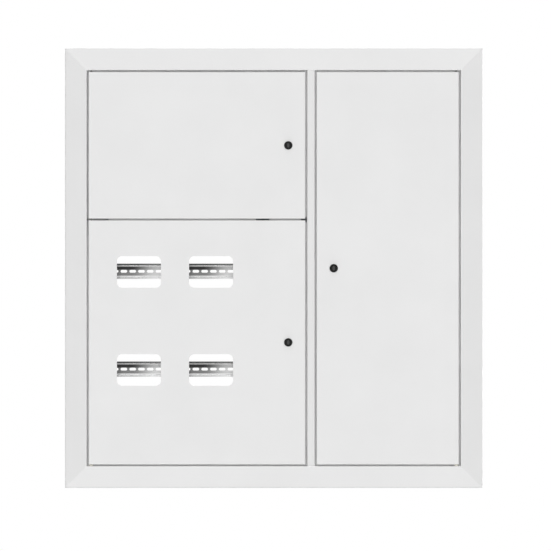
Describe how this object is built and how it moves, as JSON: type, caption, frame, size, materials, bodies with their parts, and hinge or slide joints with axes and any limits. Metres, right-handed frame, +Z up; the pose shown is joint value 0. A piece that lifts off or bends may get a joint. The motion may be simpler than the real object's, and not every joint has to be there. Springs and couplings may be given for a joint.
{
  "type": "floor distribution board",
  "caption": "Recessed sheet-steel distribution board with hinged lockable doors, breaker windows over slotted mounting rails and a separate low-current bay.",
  "frame": {"origin": "middle of the rectangle of fixing holes, on the rear face", "axes": "+X to the right seen from the front, +Y into the wall, +Z up"},
  "size_m": [0.95, 0.1425, 1],
  "materials": {
    "enclosure_paint": "light grey powder coat, fine orange peel",
    "door_paint": "light grey powder coat, fine orange peel",
    "zinc_sheet": "galvanised sheet",
    "rail_zinc": "bright zinc plating",
    "zinc_hardware": "zinc plated",
    "dark_steel": "black oxide",
    "nylon": "natural nylon",
    "terminal_brass": "drawn",
    "insulator_blue": "moulded",
    "lock_black": "black, fine grain",
    "lock_core": "dark die-cast zinc"
  },
  "bodies": {
    "enclosure": {"front_frame": "enclosure_paint", "left_wall": "enclosure_paint", "right_wall": "enclosure_paint", "top_wall": "enclosure_paint", "bottom_wall": "enclosure_paint", "centre_post": "enclosure_paint", "partition_panel": "enclosure_paint", "divider_rail": "enclosure_paint", "top_entry_plate": "enclosure_paint", "bottom_entry_plate": "enclosure_paint", "left_rail_upright": "zinc_sheet", "middle_rail_upright": "zinc_sheet", "right_rail_upright": "zinc_sheet", "meter_panel": "zinc_sheet", "upper_comms_strap": "zinc_sheet", "middle_comms_strap": "zinc_sheet", "lower_comms_strap": "zinc_sheet", "earth_bar_spacers": "zinc_sheet", "upper_left_din_rail": "rail_zinc", "upper_right_din_rail": "rail_zinc", "lower_left_din_rail": "rail_zinc", "lower_right_din_rail": "rail_zinc", "rail_screws": "zinc_hardware", "bar_fixings": "zinc_hardware", "sheet_screws": "zinc_hardware", "meter_panel_screws": "zinc_hardware", "neutral_screws": "zinc_hardware", "earth_screws": "zinc_hardware", "earth_stud": "zinc_hardware", "earth_stud_washer": "zinc_hardware", "earth_stud_nut": "zinc_hardware", "pivot_bracket": "dark_steel", "top_pivot_pins": "dark_steel", "bottom_pivot_pins": "dark_steel", "middle_pivot_pin": "dark_steel", "pivot_washers": "nylon", "neutral_bar": "terminal_brass", "earth_bar": "terminal_brass", "neutral_insulators": "insulator_blue"},
    "upper_left_door": {"upper_left_door": "door_paint", "upper_left_door_stud": "zinc_hardware", "upper_left_lock_housing": "lock_black", "upper_left_lock_nut": "zinc_hardware"},
    "upper_left_lock": {"upper_left_lock_core": "lock_core", "upper_left_lock_cam": "zinc_sheet", "upper_left_cam_screw": "zinc_hardware"},
    "lower_left_door": {"lower_left_door": "door_paint", "lower_left_door_stud": "zinc_hardware", "lower_left_lock_housing": "lock_black", "lower_left_lock_nut": "zinc_hardware"},
    "lower_left_lock": {"lower_left_lock_core": "lock_core", "lower_left_lock_cam": "zinc_sheet", "lower_left_cam_screw": "zinc_hardware"},
    "right_door": {"right_door": "door_paint", "right_door_stud": "zinc_hardware", "right_lock_housing": "lock_black", "right_lock_nut": "zinc_hardware"},
    "right_lock": {"right_lock_core": "lock_core", "right_lock_cam": "zinc_sheet", "right_cam_screw": "zinc_hardware"}
  },
  "joints": [
    {"name": "upper_left_door_hinge", "type": "hinge", "parent": "enclosure", "child": "upper_left_door", "pos_m": [-0.415, -0.1345, 0], "axis": [0, 0, -1], "range_deg": [0, 110]},
    {"name": "upper_left_lock_turn", "type": "hinge", "parent": "upper_left_door", "child": "upper_left_lock", "pos_m": [0.033, -0.1345, 0.27935], "axis": [0, -1, 0], "range_deg": [0, 90]},
    {"name": "lower_left_door_hinge", "type": "hinge", "parent": "enclosure", "child": "lower_left_door", "pos_m": [-0.415, -0.1345, 0], "axis": [0, 0, -1], "range_deg": [0, 110]},
    {"name": "lower_left_lock_turn", "type": "hinge", "parent": "lower_left_door", "child": "lower_left_lock", "pos_m": [0.033, -0.1345, -0.16865], "axis": [0, -1, 0], "range_deg": [0, 90]},
    {"name": "right_door_hinge", "type": "hinge", "parent": "enclosure", "child": "right_door", "pos_m": [0.415, -0.1345, 0], "axis": [0, 0, 1], "range_deg": [0, 110]},
    {"name": "right_lock_turn", "type": "hinge", "parent": "right_door", "child": "right_lock", "pos_m": [0.1364, -0.1345, 0], "axis": [0, 1, 0], "range_deg": [0, 90]}
  ]
}
